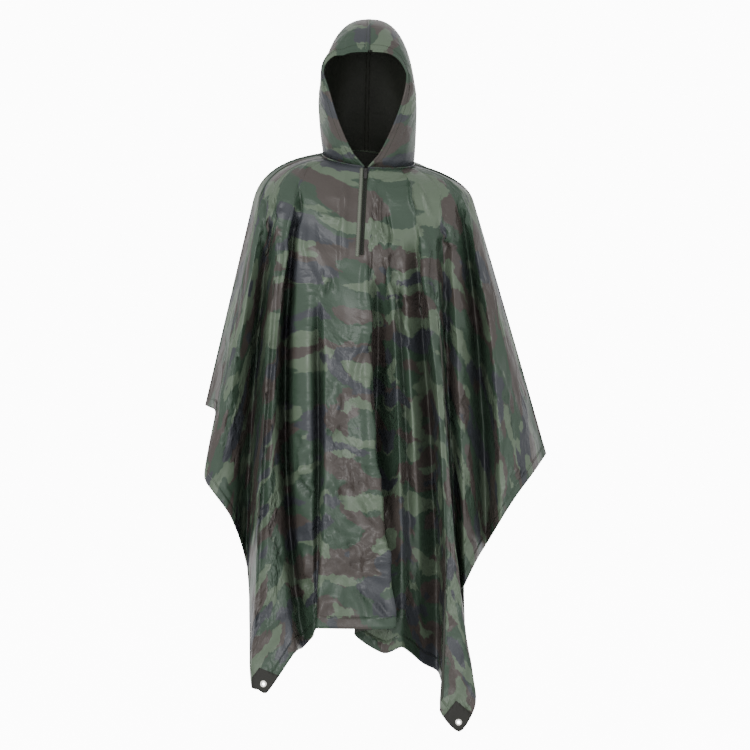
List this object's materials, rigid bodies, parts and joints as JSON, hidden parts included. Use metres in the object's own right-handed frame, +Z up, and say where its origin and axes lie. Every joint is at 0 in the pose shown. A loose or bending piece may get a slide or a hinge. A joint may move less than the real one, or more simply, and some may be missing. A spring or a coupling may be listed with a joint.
{
  "type": "rain poncho",
  "caption": "Hooded pullover rain poncho in camouflage-coated cloth, worn and draped, with a short neck zip and an eyelet at each corner of the sheet.",
  "frame": {"origin": "middle of the neck opening at the height of the shoulders, where the wearer's shoulders hold the garment up", "axes": "+Z up, front of the garment towards -Y, +X to the right of someone who faces the front"},
  "size_m": [0.767, 0.4139, 1.5792],
  "materials": {
    "camouflage_cloth": "coated plain weave with a satin sheen, woodland camouflage print",
    "hood_cloth": "the same coated, printed cloth, dark inside",
    "corner_cloth": "dark coated reinforcement, satin",
    "zip_tape": "dark woven tape",
    "zip_metal": "black enamel, worn at its edges",
    "eyelet_metal": "nickel-plated, lightly worn"
  },
  "bodies": {
    "poncho": {"body_front": "camouflage_cloth", "body_back": "camouflage_cloth", "hood_left": "hood_cloth", "hood_right": "hood_cloth", "zip_fly": "camouflage_cloth", "zip_tape_left": "zip_tape", "zip_tape_right": "zip_tape", "zip_slider": "zip_metal", "corner_patch_front_left": "corner_cloth", "corner_patch_front_right": "corner_cloth", "corner_patch_back_left": "corner_cloth", "corner_patch_back_right": "corner_cloth", "eyelet_front_left": "eyelet_metal", "eyelet_front_right": "eyelet_metal", "eyelet_back_left": "eyelet_metal", "eyelet_back_right": "eyelet_metal"},
    "pull": {"zip_pull": "zip_metal"}
  },
  "joints": [
    {"name": "pull_swing", "type": "hinge", "parent": "poncho", "child": "pull", "pos_m": [-0.0004, -0.10652, -0.01767], "axis": [-0.999, 0.0191, 0.0408], "range_deg": [0, 150]}
  ]
}
